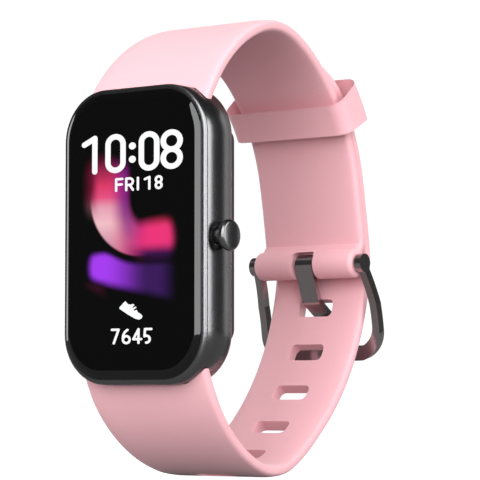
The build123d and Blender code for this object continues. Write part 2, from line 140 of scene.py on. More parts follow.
class Finish:
    """A material under construction, around one Principled shader."""

    def __init__(self, name, **constants):
        self.material = bpy.data.materials.new(name)
        self.material.use_nodes = True
        self.tree = self.material.node_tree
        self.shader = self.tree.nodes["Principled BSDF"]
        for socket, value in constants.items():
            self.set(socket.replace("_", " "), value)

    def set(self, socket, value):
        """Give one of the shader's sockets a constant or a link."""
        self.put(self.shader.inputs[socket], value)

    def put(self, socket, value):
        if isinstance(value, Wire):
            self.tree.links.new(value.socket, socket)
        elif socket.type == "RGBA" and len(value) == 3:
            socket.default_value = (*value, 1)
        else:
            socket.default_value = value

    def node(self, kind, settings=None, inputs=None, output=0):
        """Add any node: its settings first, then its sockets. Returns one of its outputs."""
        made = self.tree.nodes.new(kind)
        for name, value in (settings or {}).items():
            if name == "stops":
                self.set_stops(made.color_ramp, value)
            else:
                setattr(made, name, value)
        for key, value in (inputs or {}).items():
            self.put(made.inputs[key], value)
        return Wire(self, made.outputs[output])

    def set_stops(self, ramp, stops):
        while len(ramp.elements) < len(stops):
            ramp.elements.new(1)
        for element, (place, colour) in zip(ramp.elements, stops):
            element.position = place
            element.color = (*colour, 1)

    def place(self):
        """Object coordinates: they stay with the piece as it moves."""
        return self.node("ShaderNodeTexCoord", output="Object")

    def axes(self):
        """The three object coordinates, each in millimetres."""
        split = self.node("ShaderNodeSeparateXYZ", None, {0: self.place()}).socket.node
        return [Wire(self, split.outputs[i]) * (1 / MM) for i in range(3)]

    def noise(self, size, detail=2.0, stretch=(1, 1, 1)):
        """Cloudy variation from 0 to 1 whose blotches are about one size across."""
        scaled = self.node("ShaderNodeMapping", None, {"Vector": self.place(), "Scale": stretch})
        inputs = {"Vector": scaled, "Scale": 1 / size, "Detail": detail}
        return self.node("ShaderNodeTexNoise", None, inputs)

    def between(self, value, low, high, start=0.0, end=1.0):
        """Ease from start to end while the value goes from low to high."""
        settings = {"interpolation_type": "SMOOTHSTEP"}
        inputs = {0: value, 1: low, 2: high, 3: start, 4: end}
        return self.node("ShaderNodeMapRange", settings, inputs)

    def larger(self, a, b):
        return self.node("ShaderNodeMath", {"operation": "MAXIMUM"}, {0: a, 1: b})

    def smaller(self, a, b):
        return self.node("ShaderNodeMath", {"operation": "MINIMUM"}, {0: a, 1: b})

    def mix(self, factor, a, b):
        """Blend two colours."""
        settings = {"data_type": "RGBA", "clamp_factor": True}
        return self.node("ShaderNodeMix", settings, {0: factor, 6: a, 7: b}, output=2)

    def bump(self, height, strength, depth):
        """Raise the surface by up to a depth."""
        inputs = {"Strength": strength, "Distance": depth, "Height": height}
        self.set("Normal", self.node("ShaderNodeBump", None, inputs))


print("shader language ready")

# %% [markdown]
# ## Materials
# The band has few materials, but each has its own way of catching light. The case is anodised
# metal, blasted to a fine satin. The strap is moulded silicone: soft, matt, with a faint dusty
# bloom in patches. Inside are circuit board, foil, plated steel and foam.
# Each family is a function, so that one finish can be tried in one place and reused.


# %% Families of finishes
def metal(name, colour, roughness, grain=0.25 * MM, stretch=(1, 1, 1), spread=0.12):
    """Metal with a fine grain: blotches in its colour and roughness and a hint of relief."""
    finish = Finish(name, Metallic=1.0)
    blotch = finish.noise(6 * MM, 3.0)
    fine = finish.noise(grain, 3.0, stretch)
    darker = [c * (1 - spread) for c in colour]
    lighter = [min(1.0, c * (1 + spread)) for c in colour]
    finish.set("Base Color", finish.mix(blotch, darker, lighter))
    finish.set("Roughness", finish.between(fine, 0.2, 0.8, roughness * 0.8, roughness * 1.25))
    finish.bump(fine, 0.25, 0.006 * MM)
    return finish.material


def moulded(name, colour, roughness, texture=0.12 * MM, relief=0.01 * MM, spread=0.1):
    """Plastic, rubber or foam from a mould, with a fine even texture."""
    finish = Finish(name, Specular_IOR_Level=0.45)
    blotch = finish.noise(5 * MM, 3.0)
    fine = finish.noise(texture, 4.0)
    darker = [c * (1 - spread) for c in colour]
    lighter = [min(1.0, c * (1 + spread)) for c in colour]
    finish.set("Base Color", finish.mix(blotch, darker, lighter))
    finish.set("Roughness", finish.between(fine, 0.2, 0.8, roughness * 0.85, roughness * 1.1))
    finish.bump(fine, 0.4, relief)
    return finish.material


def silicone(name):
    """Pink silicone: matt and soft, a little paler where a thin layer of bloom lies."""
    finish = Finish(name, Specular_IOR_Level=0.35, Sheen_Weight=0.18, Sheen_Roughness=0.45)
    cloud = finish.noise(14 * MM, 3.0)
    bloom = finish.noise(1.6 * MM, 4.0)
    skin = finish.noise(0.09 * MM, 3.0)
    body = finish.mix(cloud, (0.78, 0.405, 0.45), (0.82, 0.44, 0.485))
    finish.set("Base Color", finish.mix(bloom * 0.25, body, (0.86, 0.52, 0.56)))
    finish.set("Roughness", finish.between(bloom, 0.2, 0.8, 0.46, 0.56))
    finish.bump(skin, 0.35, 0.008 * MM)
    return finish.material


CASE_GREY = (0.17, 0.17, 0.175)
CASE_MID_Y = -24.0  # middle of the case's side, mm
CASE_HALF_DEPTH = 3.6
SIDE_BULGE = 1.9  # how far the side would stand out if it were round, mm


def case_satin(name):
    """Anodised metal on the case. Its side is ground slightly round, which a bump shows."""
    finish = Finish(name, Metallic=1.0)
    _, y, _ = finish.axes()
    off = (y - CASE_MID_Y) * (1 / CASE_HALF_DEPTH)
    fine = finish.noise(2.5 * MM, 2.0)
    blotch = finish.noise(8 * MM, 2.0)
    darker = [c * 0.94 for c in CASE_GREY]
    lighter = [c * 1.06 for c in CASE_GREY]
    finish.set("Base Color", finish.mix(blotch, darker, lighter))
    finish.set("Roughness", finish.between(fine, 0.2, 0.8, 0.25, 0.28))
    finish.bump(off * off * (-0.5 * SIDE_BULGE * MM), 1.0, 1.0)
    return finish.material


print("families of finishes ready")

# %% [markdown]
# ## The screen
# Under the glass is a lit panel with a wallpaper: a broad ribbon that comes down on the left,
# turns along a circle and runs to the right, and a violet ribbon under it. It could be an
# image, but a pattern worked out from the distance to that circle stays sharp and needs no
# file. The glass and its picture are one material: black and glossy, with the picture as light.

# %% Screen glass
RIBBON_CENTRE = (2.1, 5.8)  # of the ellipse that the ribbons follow, mm
RIBBON_R = 6.5


def screen_glass(name):
    """Black glossy glass with a glowing wallpaper in it."""
    finish = Finish(name, Base_Color=(0.001, 0.001, 0.001), Emission_Strength=1.0)
    x, _, z = finish.axes()
    dx = finish.smaller(x - RIBBON_CENTRE[0], 0.0)
    dz = finish.smaller(z - RIBBON_CENTRE[1], 0.0)
    away = (dx * dx + dz * dz * 1.21) ** 0.5 - RIBBON_R
    hole = (dx * dx + dz * dz * 0.36) ** 0.5 + finish.larger(x - 1.5, 0.0) * 0.07
    high = finish.between(z, 2.0, 8.0)
    far = finish.between(x, 0.0, 5.0)
    inside = finish.between(hole, 1.9, 3.3)
    crisp = finish.between(away, 3.2, 3.7, 1.0, 0.0)
    soft = finish.between(away, 1.8, 5.4, 1.0, 0.0)
    outside = crisp + (soft - crisp) * finish.larger(high, far)
    peak = ((x + 5.6) * (x + 5.6)) ** 0.5
    fades = finish.between(z + peak * 0.35, 10.2, 13.4, 1.0, 0.0)
    fades = fades * finish.between(x, 6.8, 9.8, 1.0, 0.0)
    past = finish.larger(x - 5.8, 0.0)
    tip = finish.between((past * past + (z + 1.0) * (z + 1.0) * 0.5) ** 0.5, 1.6, 3.6, 1.0, 0.0)
    fades = fades * (tip + (1 - tip) * finish.between(x, 7.2, 4.6))
    stops = [(0, (0.10, 0.004, 0.03)), (0.22, (0.72, 0.04, 0.14)), (0.36, (0.78, 0.08, 0.22)),
             (0.5, (0.80, 0.36, 0.47)), (0.7, (0.88, 0.52, 0.57)), (1, (0.55, 0.2, 0.32))]
    along = finish.node("ShaderNodeValToRGB", {"stops": stops}, {0: finish.between(z, 13.0, -4.5)})
    hot = finish.mix(finish.between(x, -5.0, 2.5), along, (0.84, 0.035, 0.19))
    inner = finish.between(hole, 6.6, 2.6) * finish.between(x, 4.0, -2.0)
    ribbon = finish.mix(inner, hot, (0.17, 0.012, 0.22))
    crimson = finish.between(z, 0.5, 2.4) * finish.between(x, 2.0, 6.0)
    ribbon = finish.mix(crimson, ribbon, (0.76, 0.035, 0.12))
    under = finish.between(away, 1.0, 3.4) * finish.between(x, -3.0, 3.5)
    ribbon = finish.mix(under, ribbon, (0.05, 0.005, 0.085))
    left = finish.between(away, 1.6, 3.6) * high
    ribbon = finish.mix(left, ribbon, (0.20, 0.006, 0.04))
    band = finish.between(away, 4.2, 5.5) * finish.between(z + x * 0.2, -9.0, -7.2)
    band = band * finish.between(x, -9.4, -7.2) * finish.between(x, 5.0, 9.0, 1.0, 0.0)
    band = band * finish.between(z, -3.4, -2.0, 1.0, 0.0)
    end = finish.smaller(x + 5.4, 0.0)
    lobe = finish.between((end * end + (z + 4.7) * (z + 4.7)) ** 0.5, 1.7, 3.7, 1.0, 0.0)
    band = band * (lobe + (1 - lobe) * finish.between(x, -6.2, -4.0))
    violet = finish.mix(finish.between(x, -5.5, 3.5), (0.38, 0.045, 0.88), (0.04, 0.009, 0.10))
    ember = finish.between(z + x * 0.2, -8.2, -9.4) * finish.between(away, 9.4, 12.4, 1.0, 0.0)
    ember = ember * finish.between(x, -10.0, -8.2) * finish.between(x, -7.0, -4.0, 1.0, 0.0)
    picture = finish.mix(inside * outside * fades, (0, 0, 0), ribbon)
    picture = finish.mix(band, picture, violet)
    picture = finish.mix(ember, picture, (0.06, 0.003, 0.02))
    finish.set("Emission Color", picture)
    smudge = finish.noise(9 * MM, 3.0)
    finish.set("Roughness", finish.between(smudge, 0.3, 0.8, 0.02, 0.05))
    return finish.material


print("screen glass ready")

# %% [markdown]
# ## Finishes for the carried-over parts
# Each CAD part names the material slot it is made in. One table gives every slot its finish,
# and a loop assigns them, so no part is forgotten, not even the ones inside the case.

# %% Assign finishes
COATS = {
    "gunmetal": case_satin("satin_gunmetal"),
    "screen_glass": screen_glass("lit_glass"),
    "black_foam": moulded("black_foam", (0.02, 0.02, 0.02), 0.85, 0.3 * MM, 0.03 * MM),
    "black_ink": moulded("black_ink", (0.01, 0.01, 0.01), 0.5),
    "screen": moulded("dark_screen", (0.02, 0.02, 0.03), 0.2),
    "flex": moulded("amber_film", (0.55, 0.26, 0.05), 0.3),
    "chassis_metal": metal("milled_alloy", (0.6, 0.61, 0.62), 0.35, 0.4 * MM, (1, 1, 12)),
    "steel": metal("turned_steel", (0.62, 0.62, 0.62), 0.25, 0.1 * MM, (12, 1, 1)),
    "board": moulded("green_board", (0.02, 0.13, 0.07), 0.35, 0.5 * MM),
    "chip": moulded("moulded_chip", (0.035, 0.035, 0.04), 0.6),
    "tin": metal("tinned_steel", (0.7, 0.7, 0.68), 0.3),
    "battery_wrap": metal("foil_pouch", (0.42, 0.43, 0.45), 0.45, 0.8 * MM),
    "copper": metal("copper_plate", (0.85, 0.45, 0.28), 0.3),
    "black_shell": moulded("textured_shell", (0.03, 0.03, 0.033), 0.45, 0.15 * MM, 0.02 * MM),
    "sensor_glass": moulded("smoked_window", (0.015, 0.015, 0.02), 0.08, 2 * MM, 0.001 * MM),
    "gold": metal("gold_plate", (0.9, 0.66, 0.28), 0.2),
    "seal_rubber": moulded("seal_rubber", (0.02, 0.02, 0.02), 0.6),
    "silicone": silicone("pink_silicone"),
    "buckle_metal": metal("polished_gunmetal", (0.40, 0.355, 0.36), 0.18),
}
for part in frame["record"]["subparts"]:
    node = frame["nodes"][part["node"]]
    node.data.materials.clear()
    node.data.materials.append(COATS[part["material_slot"]])
print("finishes", len(COATS), "on", len(frame["nodes"]), "parts")

# %% [markdown]
# ## Helpers for new pieces
# Every new piece goes the same way: a bmesh is shaped by operators, becomes an object at the
# origin, gets a finish, rides on its body and stands for the CAD part it replaces.
# Holes are cut with an exact boolean and the result is kept as plain mesh.


# %% Piece helpers
WELD = 0.002 * MM  # points nearer than this after a boolean are one point


def make_piece(name, bm, slot_name, body, *replaced, smooth=40.0):
    """Turn a bmesh into a finished piece of the object."""
    bmesh.ops.recalc_face_normals(bm, faces=bm.faces)
    mesh = bpy.data.meshes.new(name)
    bm.to_mesh(mesh)
    bm.free()
    mesh.shade_smooth()
    mesh.set_sharp_from_angle(angle=math.radians(smooth))
    piece = bpy.data.objects.new(name, mesh)
    bpy.context.scene.collection.objects.link(piece)
    mesh.materials.append(COATS[slot_name])
    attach(piece, body)
    if replaced:
        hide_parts(*replaced)
    print(name, len(mesh.polygons), "faces")
    return piece


def carve(bm, tools):
    """Cut or add closed bmeshes, one exact boolean each. Returns a new bmesh."""
    helpers = []
    for index, source in enumerate([bm, *[tool for tool, _ in tools]]):
        bmesh.ops.recalc_face_normals(source, faces=source.faces)
        mesh = bpy.data.meshes.new(f"carve_{index}")
        source.to_mesh(mesh)
        source.free()
        helper = bpy.data.objects.new(mesh.name, mesh)
        bpy.context.scene.collection.objects.link(helper)
        helpers.append(helper)
    for helper, (_, operation) in zip(helpers[1:], tools):
        modifier = helpers[0].modifiers.new(helper.name, "BOOLEAN")
        modifier.object = helper
        modifier.operation = operation
        modifier.solver = "EXACT"
    bpy.context.view_layer.update()
    graph = bpy.context.evaluated_depsgraph_get()
    result = bmesh.new()
    result.from_object(helpers[0], graph)
    for helper in helpers:
        bpy.data.meshes.remove(helper.data)
    bmesh.ops.remove_doubles(result, verts=result.verts, dist=WELD)
    bmesh.ops.dissolve_degenerate(result, edges=result.edges, dist=WELD)
    return result


def round_edges(bm, edges, radius, segments=3):
    """Round edges as a mould or a polisher does."""
    bmesh.ops.bevel(bm, geom=list(edges), offset=radius, offset_type="OFFSET", segments=segments,
                    profile=0.5, affect="EDGES", clamp_overlap=True, material=-1)


def sharp_edges(bm, degrees=35.0):
    """Edges where two faces meet at more than an angle."""
    limit = math.radians(degrees)
    return [e for e in bm.edges if len(e.link_faces) == 2 and e.calc_face_angle(0) > limit]


def rod(radius, low_x, high_x, y, z, segments=40, edge=0.0):
    """A round bar along X, with its two rims rounded."""
    bm = bmesh.new()
    middle = Vector(((low_x + high_x) / 2, y, z))
    turn = Matrix.Rotation(math.pi / 2, 4, "Y")
    bmesh.ops.create_cone(bm, cap_ends=True, segments=segments, radius1=radius, radius2=radius,
                          depth=high_x - low_x, matrix=Matrix.Translation(middle) @ turn)
    if edge:
        round_edges(bm, sharp_edges(bm), edge)
    return bm


def brick(x, y, z, corner=0.0, along=1):
    """A box from three (low, high) pairs, its edges along one axis rounded."""
    bm = bmesh.new()
    lows, highs = zip(x, y, z)
    size = [high - low for low, high in zip(lows, highs)]
    middle = [(high + low) / 2 for low, high in zip(lows, highs)]
    stand = Matrix.Translation(middle) @ Matrix.Diagonal((*size, 1))
    bmesh.ops.create_cube(bm, size=1, matrix=stand)
    if corner:
        bm.normal_update()
        half = 0.5 * size[along]
        edges = [e for e in bm.edges if abs((e.verts[0].co - e.verts[1].co)[along]) > half]
        round_edges(bm, edges, corner, 5)
    return bm


print("piece helpers ready")

# %% [markdown]
# ## The strap's path
# Seen from the side the strap is a chain of arcs that join smoothly, as a drawn spline would.
# A curve with a bevel object could follow it, but its section would not stay easy to edit. So
# one flat section is spun about each arc's centre in turn: bmesh's spin leaves rings of faces,
# and the last ring is the start of the next arc. The numbers are the CAD part's own.

# %% Path
STRAP_T = 2.0
STRAP_W = 23.5
TOP_END_W = 19.5
TAIL_W = 18.3
TAPER_START_Y = -22.0
TAPER_END_Y = 9.0
LAP = STRAP_T + 0.15
TOP_START = Vector((-22.9, 20.0))
TOP_DIRECTION = 61.5
TOP_ARCS = [(25.5, -43.5), (14.0, -41.5), (28.4, -55.0), (200.0, -3.0)]
KEEPER_ARC = 2
TAIL_TIP_DIRECTION = -31.7
TAIL_TURN_UNDER = [(20.5, -16.5), (38.0, -56.0), (12.5, -42.0), (23.5, -51.5)]
TIP_LENGTH = 12.0
ARC_STEP_MM = 0.9


def heading(degrees):
    return Vector((math.cos(math.radians(degrees)), math.sin(math.radians(degrees))))


def to_right(degrees):
    return heading(degrees - 90)


def arc_centres(start, direction, arcs):
    """Each arc's centre, and the point and direction after the last one."""
    centres = []
    for radius, turn in arcs:
        centre = start + to_right(direction) * radius
        centres.append(centre)
        direction += turn
        start = centre - to_right(direction) * radius
    return centres, start, direction


top_centres, top_end, top_end_direction = arc_centres(TOP_START, TOP_DIRECTION, TOP_ARCS)
keeper_centre = top_centres[KEEPER_ARC]
keeper_r = TOP_ARCS[KEEPER_ARC][0]
tail_r = keeper_r + LAP
tip_angle = 90 + TAIL_TIP_DIRECTION
tail_start = keeper_centre + heading(tip_angle) * tail_r
to_keeper_end = TOP_DIRECTION + sum(turn for _, turn in TOP_ARCS[: KEEPER_ARC + 1])
tail_arcs = [(tail_r, to_keeper_end - TAIL_TIP_DIRECTION), (200.0 + LAP, -3.0), *TAIL_TURN_UNDER]
tail_centres, tail_end, tail_end_direction = arc_centres(tail_start, TAIL_TIP_DIRECTION, tail_arcs)
print("top strap ends at", [round(c, 2) for c in top_end])
print("tail ends at", [round(c, 2) for c in tail_end])

# %% [markdown]
# ## The strap's section
# Moulded silicone has no sharp edges: the section is a flat lens with round sides. A grid gives
# a strip with enough columns to bend round the case, a bevel rounds its four corners, and a
# small lift pulls the two faces together towards the sides.

# %% Section and sweep
COLUMNS = 20
CORNER_R = 0.6
CROWN_FROM = 2.6  # the faces draw together over this much at each side
CROWN_LIFT = 0.28
CASE_W, CASE_H, CASE_R = 27.5, 45.0, 7.8
CASE_GAP = 0.15
SIDE_KEPT = 3.5  # this much of each side moves in as it is where the strap tapers


def strap_section(start, direction, width):
    """The strap's section as one flat face, standing at the start of its path."""
    bm = bmesh.new()
    bmesh.ops.create_grid(bm, x_segments=COLUMNS, y_segments=1, size=0.5)
    bmesh.ops.scale(bm, vec=(width, STRAP_T, 1), verts=bm.verts)
    corners = [v for v in bm.verts if len(v.link_edges) == 2]
    bmesh.ops.bevel(bm, geom=corners, offset=CORNER_R, offset_type="OFFSET", segments=4,
                    profile=0.5, affect="VERTICES", material=-1)
    bmesh.ops.dissolve_faces(bm, faces=bm.faces)
    for v in bm.verts:
        over = max(0.0, abs(v.co.x) - (width / 2 - CROWN_FROM)) / CROWN_FROM
        v.co.y *= 1 - CROWN_LIFT * over * over
    outward = -to_right(direction)
    middle = start + outward * (STRAP_T / 2)
    for v in bm.verts:
        at = middle + outward * v.co.y
        v.co = Vector((v.co.x, at.x, at.y))
    return bm


def sweep_arcs(bm, centres, arcs):
    """Spin the section round one arc after another."""
    last = list(bm.faces)
    for centre, (radius, turn) in zip(centres, arcs):
        steps = max(3, round(math.radians(abs(turn)) * radius / ARC_STEP_MM))
        geom = [*last, *{e for f in last for e in f.edges}, *{v for f in last for v in f.verts}]
        spun = bmesh.ops.spin(bm, geom=geom, cent=(0, *centre), axis=(1, 0, 0),
                              angle=math.radians(turn), steps=steps)
        last = [g for g in spun["geom_last"] if isinstance(g, bmesh.types.BMFace)]
    return last


def narrow(bm, end_width):
    """Taper the strap by moving its two sides in, so that its edges keep their roundness."""
    for v in bm.verts:
        share = min(1.0, max(0.0, (v.co.y - TAPER_START_Y) / (TAPER_END_Y - TAPER_START_Y)))
        width = STRAP_W + (end_width - STRAP_W) * share
        if abs(v.co.x) > STRAP_W / 2 - SIDE_KEPT:
            v.co.x -= math.copysign((STRAP_W - width) / 2, v.co.x)
        else:
            v.co.x *= (width - 2 * SIDE_KEPT) / (STRAP_W - 2 * SIDE_KEPT)


def case_edge(x):
    """How high the case's rounded outline stands over a place across the strap."""
    corner = CASE_R + CASE_GAP
    across = max(0.0, abs(x) - (CASE_W / 2 - CASE_R))
    return CASE_H / 2 - CASE_R + math.sqrt(max(0.0, corner * corner - across * across))


def fit_to_case(bm, centre, start_angle, end_angle, side):
    """Slide the rings of the arc next to the case so that its end follows the case's outline."""
    for v in bm.verts:
        arm = Vector((v.co.y, v.co.z)) - centre
        angle = math.degrees(math.atan2(arm.y, arm.x)) % 360
        share = (angle - start_angle) / (end_angle - start_angle)
        near_case = v.co.y < centre.x and side * (v.co.z - centre.y) > 0
        if near_case and -0.001 <= share <= 1.001:
            rise = (side * case_edge(v.co.x) - centre.y) / arm.length
            wanted = 180 - math.degrees(math.asin(rise))
            turn = math.radians((wanted - end_angle) * share)
            turned = Matrix.Translation((0, *centre)) @ Matrix.Rotation(turn, 4, "X")
            v.co = turned @ Matrix.Translation((0, *-centre)) @ v.co


print("section ready")

# %% [markdown]
# ## Lugs
# Each strap ends at the case in a thick lug with a spring bar through it. A release knob sticks
# out of a slot on the wrist's side. The lug is a round bar and a neck joined by booleans.

# %% Lug
LUG_BAR = (-21.65, 18.9)
LUG_R = 2.0
LUG_HALF_W = 9.8
BAR_R = 0.75
KNOB_X = 7.0
KNOB_TRAVEL = 1.2
KNOB_ROOM = 0.7  # room left beyond the knob at each end of its slot
KNOB_SLOT_HALF = 0.6
NECK = 3.2  # how far the neck reaches from the bar into the strap
THROUGH = 20  # half the length of a cutter that goes right through


def lug_tools(side):
    """What turns the strap's end into its lug: solids to add, then holes to cut."""
    y, z = LUG_BAR
    across = (-LUG_HALF_W, LUG_HALF_W)
    heights = sorted((side * z, side * (z + NECK)))
    bar = rod(LUG_R, *across, y, side * z, edge=0.3)
    neck = brick(across, (y - LUG_R + 0.05, y + 0.4), heights, 0.3, 2)
    bore = rod(BAR_R + 0.02, -THROUGH, THROUGH, y, side * z, 24)
    knob_slot = (KNOB_X - KNOB_TRAVEL - KNOB_ROOM, KNOB_X + KNOB_ROOM)
    opening = (side * z - KNOB_SLOT_HALF, side * z + KNOB_SLOT_HALF)
    slot = brick(knob_slot, (y, y + 4), opening, 0.55)
    return [(bar, "UNION"), (neck, "UNION"), (bore, "DIFFERENCE"), (slot, "DIFFERENCE")]


def to_metres(bm):
    bmesh.ops.scale(bm, vec=(MM, MM, MM), verts=bm.verts)


print("lug ready")

# %% [markdown]
# ## Top strap
# The top strap runs from the case over to the buckle, where its end thickens into a tube round
# the buckle's bar, with a notch for the tang. After the sweep, its last face is extruded in
# three steps that thicken and lean in over the bar, to lead into the tube as the moulded part
# does. The tube's ends are rounded.

# %% Build the top strap
BAR_Y, BAR_Z = 19.0, -2.4
TUBE_R = 2.4
NOTCH_HALF_W = 2.3
NOTCH_TOP = -0.3
# Each step down, the middle that it moves over to, and how much the thickness grows.
FLARE = [(0.7, 20.4, 1.2), (0.9, 19.8, 1.2), (1.2, 19.2, 1.15)]


def build_top_strap():
    bm = strap_section(TOP_START, TOP_DIRECTION, STRAP_W)
    last = sweep_arcs(bm, top_centres, TOP_ARCS)
    narrow(bm, TOP_END_W)
    for step, middle, growth in FLARE:
        made = bmesh.ops.extrude_face_region(bm, geom=last)["geom"]
        verts = [g for g in made if isinstance(g, bmesh.types.BMVert)]
        bmesh.ops.delete(bm, geom=last, context="FACES_ONLY")
        last = [g for g in made if isinstance(g, bmesh.types.BMFace)]
        before = sum(v.co.y for v in verts) / len(verts)
        for v in verts:
            v.co.y = middle + (v.co.y - before) * growth
            v.co.z -= step
    start_angle = TOP_DIRECTION + 90
    fit_to_case(bm, top_centres[0], start_angle + TOP_ARCS[0][1], start_angle, 1)
    tube = rod(TUBE_R, -TOP_END_W / 2, TOP_END_W / 2, BAR_Y, BAR_Z, 56, edge=0.7)
    notch = brick((-NOTCH_HALF_W, NOTCH_HALF_W), (BAR_Y - 8, BAR_Y + 8), (-12, NOTCH_TOP), 0.8)
    bore = rod(BAR_R, -THROUGH, THROUGH, BAR_Y, BAR_Z, 24)
    tools = [(tube, "UNION"), (notch, "DIFFERENCE"), (bore, "DIFFERENCE"), *lug_tools(1)]
    return carve(bm, tools)


bm = build_top_strap()
to_metres(bm)
make_piece("soft_strap_top", bm, "silicone", "case", "strap_top", smooth=38)

# %% [markdown]
# ## Tail strap
# The tail starts at its rounded tip, laps over the top strap and runs under the wrist back to
# the case. Its slots could be left out of the sweep, but cutting rounded bricks out of the
# finished band keeps each slot square to the strap wherever it bends.

# %% Build the tail strap
SLOT_W, SLOT_L, SLOT_R = 6.7, 3.0, 0.9
SLOT_PITCH = 8.2
SLOTS_ABOVE, SLOTS_BELOW = 3, 5
ARCS_TO_TANG = 3
TANG_SLOT_BEYOND = 5.1


def along_tail(distance):
    """The point on the tail's middle line at a distance from its tip, and its direction."""
    direction = TAIL_TIP_DIRECTION
    for centre, (radius, turn) in zip(tail_centres, tail_arcs):
        length = math.radians(-turn) * (radius + STRAP_T / 2)
        if distance <= length:
            direction += turn * distance / length
            return centre - to_right(direction) * (radius + STRAP_T / 2), direction
        distance -= length
        direction += turn
    return tail_end, direction


def slot_cutter(distance):
    """A rounded brick that stands square through the tail."""
    point, direction = along_tail(distance)
    cutter = brick((-SLOT_W / 2, SLOT_W / 2), (-3, 3), (-SLOT_L / 2, SLOT_L / 2), SLOT_R)
    turn = Matrix.Rotation(math.radians(direction + 90), 4, "X")
    bmesh.ops.transform(cutter, matrix=Matrix.Translation((0, *point)) @ turn, verts=cutter.verts)
    return cutter


def round_tip(bm):
    """Draw the strap's sides in along an ellipse towards its tip."""
    radius = tail_r + STRAP_T / 2
    for v in bm.verts:
        arm = Vector((v.co.y, v.co.z)) - keeper_centre
        along = math.radians(tip_angle - math.degrees(math.atan2(arm.y, arm.x))) * radius
        if -0.01 <= along < TIP_LENGTH and arm.length > tail_r - 1:
            left = 1 - max(0.0, along) / TIP_LENGTH
            v.co.x *= math.sqrt(max(0.0, 1 - left * left))


def build_tail_strap():
    bm = strap_section(tail_start, TAIL_TIP_DIRECTION, STRAP_W)
    sweep_arcs(bm, tail_centres, tail_arcs)
    narrow(bm, TAIL_W)
    end_angle = 90 + tail_end_direction
    centre, (_, turn) = tail_centres[-1], tail_arcs[-1]
    fit_to_case(bm, centre, (end_angle - turn) % 360, end_angle % 360, -1)
    round_tip(bm)
    bmesh.ops.remove_doubles(bm, verts=bm.verts, dist=0.01)
    above = tail_arcs[:ARCS_TO_TANG]
    to_tang = sum(math.radians(-turn) * (r + STRAP_T / 2) for r, turn in above) + TANG_SLOT_BEYOND
    steps = range(-SLOTS_ABOVE, SLOTS_BELOW + 1)
    slots = [(slot_cutter(to_tang + step * SLOT_PITCH), "DIFFERENCE") for step in steps]
    return carve(bm, [*lug_tools(-1), *slots])


bm = build_tail_strap()
to_metres(bm)
make_piece("soft_strap_tail", bm, "silicone", "case", "strap_bottom", smooth=38)

# %% [markdown]
# ## Keeper loop
# The keeper is a thick soft loop that slides on the strap and holds the tail down. A rounded
# rectangle is inset to leave its wall, the middle is deleted, and the ring is spun a few
# degrees about the arc that it slides on. Then all its rims are rounded.

# %% Build the keeper
KEEPER_ANGLE = 34.1
KEEPER_L = 6.2
KEEPER_WALL = 1.75
KEEPER_CLEAR = 0.2
KEEPER_CORNER_R = 2.4
RIM_R = 0.7


def build_keeper():
    half_w = TOP_END_W / 2 + KEEPER_CLEAR + KEEPER_WALL
    low = keeper_r - KEEPER_CLEAR - KEEPER_WALL
    high = keeper_r + STRAP_T + LAP + KEEPER_CLEAR + KEEPER_WALL
    half_angle = KEEPER_L / 2 / (keeper_r + STRAP_T)
    bm = bmesh.new()
    bmesh.ops.create_grid(bm, x_segments=1, y_segments=1, size=0.5)
    bmesh.ops.scale(bm, vec=(2 * half_w, high - low, 1), verts=bm.verts)
    bmesh.ops.bevel(bm, geom=list(bm.verts), offset=KEEPER_CORNER_R, offset_type="OFFSET",
                    segments=6, profile=0.5, affect="VERTICES", material=-1)
    inner = bm.faces[:]
    bmesh.ops.inset_region(bm, faces=inner, thickness=KEEPER_WALL, use_even_offset=True)
    bmesh.ops.delete(bm, geom=inner, context="FACES_ONLY")
    start = math.radians(KEEPER_ANGLE) - half_angle
    turned = Matrix.Translation((0, *keeper_centre)) @ Matrix.Rotation(start, 4, "X")
    stand = turned @ Matrix.Translation((0, (low + high) / 2, 0))
    bmesh.ops.transform(bm, matrix=stand, verts=bm.verts)
    geom = [*bm.faces, *bm.edges, *bm.verts]
    bmesh.ops.spin(bm, geom=geom, cent=(0, *keeper_centre), axis=(1, 0, 0),
                   angle=2 * half_angle, steps=8)
    bmesh.ops.recalc_face_normals(bm, faces=bm.faces)
    round_edges(bm, sharp_edges(bm, 60), RIM_R, 4)
    return bm


bm = build_keeper()
to_metres(bm)
make_piece("soft_keeper", bm, "silicone", "keeper", "keeper_loop", smooth=50)

# %% [markdown]
# ## Cover glass
# The glass is flat in front and ground down at its rim, so a watch's glass seems to melt into
# the case. A bevel would make that rim one round edge. The real one is a broad shallow facet
# with small rounds on both sides, so the front face is inset and raised in steps instead.

# %% Build the glass
RIM = 0.75
GLASS_T = 1.3
GLASS_FRONT = -28.0
# Each step in from the rim, and how much the glass rises there.
GLASS_STEPS = [(0.03, 0.09), (0.05, 0.07), (0.4, 0.17), (0.4, 0.155), (0.12, 0.03), (0.16, 0.02),
               (0.3, 0.0)]


def rounded_slab(width, height, corner, y, segments=16):
    """A flat rounded rectangle that faces the front."""
    bm = bmesh.new()
    bmesh.ops.create_grid(bm, x_segments=1, y_segments=1, size=0.5)
    bmesh.ops.scale(bm, vec=(width, height, 1), verts=bm.verts)
    bmesh.ops.bevel(bm, geom=list(bm.verts), offset=corner, offset_type="OFFSET", segments=segments,
                    profile=0.5, affect="VERTICES", material=-1)
    stand = Matrix.Translation((0, y, 0)) @ Matrix.Rotation(math.pi / 2, 4, "X")
    bmesh.ops.transform(bm, matrix=stand, verts=bm.verts)
    return bm


